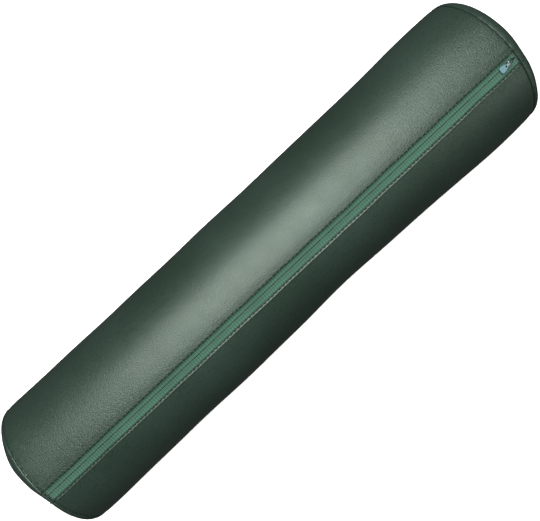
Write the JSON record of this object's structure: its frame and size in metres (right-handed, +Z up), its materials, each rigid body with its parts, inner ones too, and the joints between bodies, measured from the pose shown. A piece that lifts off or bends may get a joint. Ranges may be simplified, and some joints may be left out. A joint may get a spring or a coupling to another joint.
{
  "type": "bolster pillow",
  "caption": "Full-round massage bolster: a firm foam roll in a leatherette cover with domed ends and a full-length zip along the top.",
  "frame": {"origin": "on the surface the roll lies on, under the middle of its box", "axes": "+X along the roll towards the end where the zip slider is parked, +Z up through the zip, +Y to the side of the zip tape named back"},
  "size_m": [0.66, 0.152, 0.1518],
  "materials": {
    "leather": "satin",
    "zip_tape": "matte",
    "zip_coil": "satin",
    "filler_cord": "matte",
    "thread": "matte",
    "slider_metal": "polished",
    "pull_enamel": "gloss",
    "foam": "matte",
    "wadding": "matte"
  },
  "bodies": {
    "roll": {"foam_core": "foam", "core_wrap": "wadding", "cover_panel": "leather", "end_panel_left": "leather", "end_panel_right": "leather", "seam_thread_left": "thread", "seam_thread_right": "thread", "topstitch_front": "thread", "topstitch_back": "thread", "zip_tape_front": "zip_tape", "zip_tape_back": "zip_tape", "zip_coil_front": "zip_coil", "zip_coil_back": "zip_coil", "zip_cord_front": "filler_cord", "zip_cord_back": "filler_cord"},
    "slider": {"slider_body": "slider_metal"},
    "pull": {"pull_tab": "pull_enamel"}
  },
  "joints": [
    {"name": "zip_slide", "type": "slide", "parent": "roll", "child": "slider", "axis": [-1, 0, 0], "range_m": [0, 0.588]},
    {"name": "pull_hinge", "type": "hinge", "parent": "slider", "child": "pull", "pos_m": [0.2973, 0, 0.15035], "axis": [0, 1, 0], "range_deg": [0, 160]}
  ]
}
